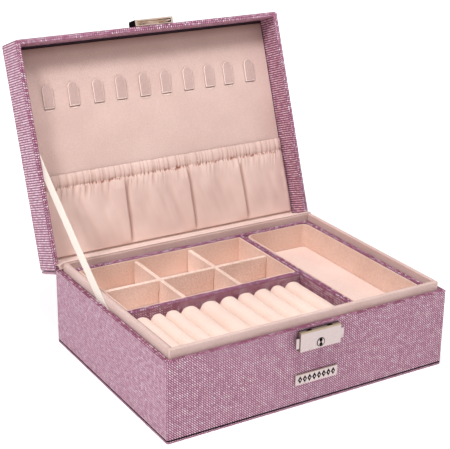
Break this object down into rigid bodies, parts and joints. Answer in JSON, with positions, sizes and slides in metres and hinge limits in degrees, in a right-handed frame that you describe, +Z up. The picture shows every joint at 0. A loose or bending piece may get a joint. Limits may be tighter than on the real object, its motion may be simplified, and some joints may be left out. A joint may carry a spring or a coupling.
{
  "type": "jewellery case",
  "caption": "Rectangular lockable jewellery case with a hinged lid, lift-out tray of cells and ring rolls, necklace hooks and a gathered lid pocket",
  "frame": {"origin": "centre of the underside of the base board, on the surface that the case stands on", "axes": "+X to the right seen from the front, +Y to the back where the lid is hinged, +Z up; the lid rests open"},
  "size_m": [0.255, 0.2929, 0.2503],
  "materials": {
    "glitter_leatherette": "pink leatherette printed with a fine square grid of small raised, glittering dots",
    "velvet": "short-pile blush velvet over board",
    "roll_velvet": "pale cream-pink velvet over foam",
    "satin": "soft brushed blush cloth, gathered",
    "ribbon": "cream woven ribbon",
    "board": "plain board",
    "foam": "open foam and woven elastic",
    "nickel": "polished light nickel plating",
    "brass": "champagne plating",
    "spring_steel": "plain spring steel"
  },
  "bodies": {
    "case": {"base_board": "glitter_leatherette", "floor_board": "board", "lower_floor_pad": "velvet", "case_walls": "glitter_leatherette", "collar_front": "velvet", "collar_back": "velvet", "collar_left": "velvet", "collar_right": "velvet", "tray_ledge_left": "velvet", "tray_ledge_right": "velvet", "stay_ribbon": "ribbon", "hinge_spine": "glitter_leatherette", "hinge_liner": "velvet", "lock_backplate": "spring_steel", "lock_cover": "nickel", "left_tab_spring": "spring_steel", "right_tab_spring": "spring_steel", "front_plate": "nickel"},
    "tray": {"tray_shell": "glitter_leatherette", "long_divider": "glitter_leatherette", "ring_divider": "glitter_leatherette", "cell_liner": "velvet", "cell_floor_pad": "velvet", "right_liner": "velvet", "right_floor_pad": "velvet", "cell_divider_left": "velvet", "cell_divider_right": "velvet", "cell_cross_divider": "velvet", "ring_roll_01": "roll_velvet", "ring_roll_02": "roll_velvet", "ring_roll_03": "roll_velvet", "ring_roll_04": "roll_velvet", "ring_roll_05": "roll_velvet", "ring_roll_06": "roll_velvet", "ring_roll_07": "roll_velvet", "ring_roll_08": "roll_velvet", "ring_roll_09": "roll_velvet", "ring_roll_10": "roll_velvet"},
    "lid": {"lid_shell": "glitter_leatherette", "lid_pad": "foam", "lid_panel": "velvet", "pocket_cloth": "satin", "pocket_elastic": "foam", "lid_spine_board": "glitter_leatherette", "hasp_plate": "nickel", "hasp_hook_left": "brass", "hasp_hook_right": "brass", "necklace_hook_01": "velvet", "necklace_hook_02": "velvet", "necklace_hook_03": "velvet", "necklace_hook_04": "velvet", "necklace_hook_05": "velvet", "necklace_hook_06": "velvet", "necklace_hook_07": "velvet", "necklace_hook_08": "velvet", "necklace_hook_09": "velvet", "necklace_hook_10": "velvet"},
    "left_tab": {"left_tab": "nickel"},
    "right_tab": {"right_tab": "nickel"},
    "key_cylinder": {"key_cylinder": "nickel"}
  },
  "joints": [
    {"name": "lid_hinge", "type": "hinge", "parent": "case", "child": "lid", "pos_m": [0, 0.09567, 0.06443], "axis": [-1, 0, 0], "range_deg": [-109.5, 0], "deforming": ["hinge_spine", "hinge_liner", "stay_ribbon"]},
    {"name": "tray_lift", "type": "slide", "parent": "case", "child": "tray", "axis": [0, 0, 1], "range_m": [0, 0.045]},
    {"name": "left_tab_press", "type": "slide", "parent": "case", "child": "left_tab", "axis": [1, 0, 0], "range_m": [0, 0.002], "stiffness_N_per_m": 400, "springref_m": -0.001, "deforming": ["left_tab_spring"]},
    {"name": "right_tab_press", "type": "slide", "parent": "case", "child": "right_tab", "axis": [-1, 0, 0], "range_m": [0, 0.002], "stiffness_N_per_m": 400, "springref_m": -0.001, "deforming": ["right_tab_spring"]},
    {"name": "key_turn", "type": "hinge", "parent": "case", "child": "key_cylinder", "pos_m": [0.0017, -0.1001, 0.053], "axis": [0, 1, 0], "range_deg": [-90, 0]}
  ]
}
